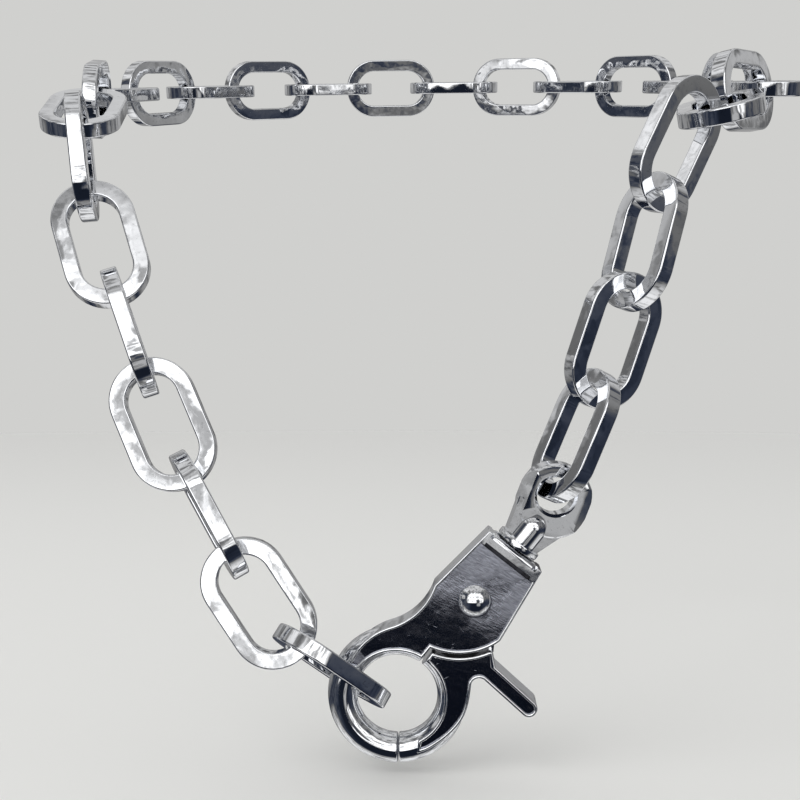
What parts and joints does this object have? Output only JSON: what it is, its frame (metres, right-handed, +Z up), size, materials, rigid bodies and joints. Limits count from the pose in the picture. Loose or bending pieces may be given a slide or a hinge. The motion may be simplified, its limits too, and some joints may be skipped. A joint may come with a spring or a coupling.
{
  "type": "round link chain necklace",
  "caption": "Chunky polished steel link chain worn as a necklace and closed by a scissor clasp with a swivel eye.",
  "frame": {"origin": "centre of the arc that lies round the back of the neck, at the level of its ends", "axes": "+X to the right seen from the front, +Y to the back of the neck, +Z up; the chain hangs as worn, with the clasp at the front"},
  "size_m": [0.1284, 0.1007, 0.1311],
  "materials": {
    "link_steel": "polished",
    "clasp_steel": "polished, with brushed sunk faces",
    "rivet_steel": "polished",
    "swivel_steel": "polished"
  },
  "bodies": {
    "chain": {"link_01": "link_steel", "link_02": "link_steel", "link_03": "link_steel", "link_04": "link_steel", "link_05": "link_steel", "link_06": "link_steel", "link_07": "link_steel", "link_08": "link_steel", "link_09": "link_steel", "link_10": "link_steel", "link_11": "link_steel", "link_12": "link_steel", "link_13": "link_steel", "link_14": "link_steel", "link_15": "link_steel", "link_16": "link_steel", "link_17": "link_steel", "link_18": "link_steel", "link_19": "link_steel", "link_20": "link_steel", "link_21": "link_steel", "link_22": "link_steel", "link_23": "link_steel", "link_24": "link_steel", "link_25": "link_steel", "link_26": "link_steel", "link_27": "link_steel", "link_28": "link_steel", "clasp_body": "clasp_steel", "rivet": "rivet_steel"},
    "trigger": {"trigger": "clasp_steel"},
    "swivel": {"swivel_eye": "swivel_steel"}
  },
  "joints": [
    {"name": "trigger_pivot", "type": "hinge", "parent": "chain", "child": "trigger", "pos_m": [0.00727, -0.03083, -0.08244], "axis": [-0.0537, -0.9962, -0.0687], "range_deg": [0, 25], "stiffness_Nm_per_rad": 0.02, "springref_deg": -22.92},
    {"name": "swivel_turn", "type": "hinge", "parent": "chain", "child": "swivel", "pos_m": [0.01255, -0.03158, -0.07569], "axis": [0.6133, -0.0872, 0.785], "range_deg": [-3, 15]}
  ]
}
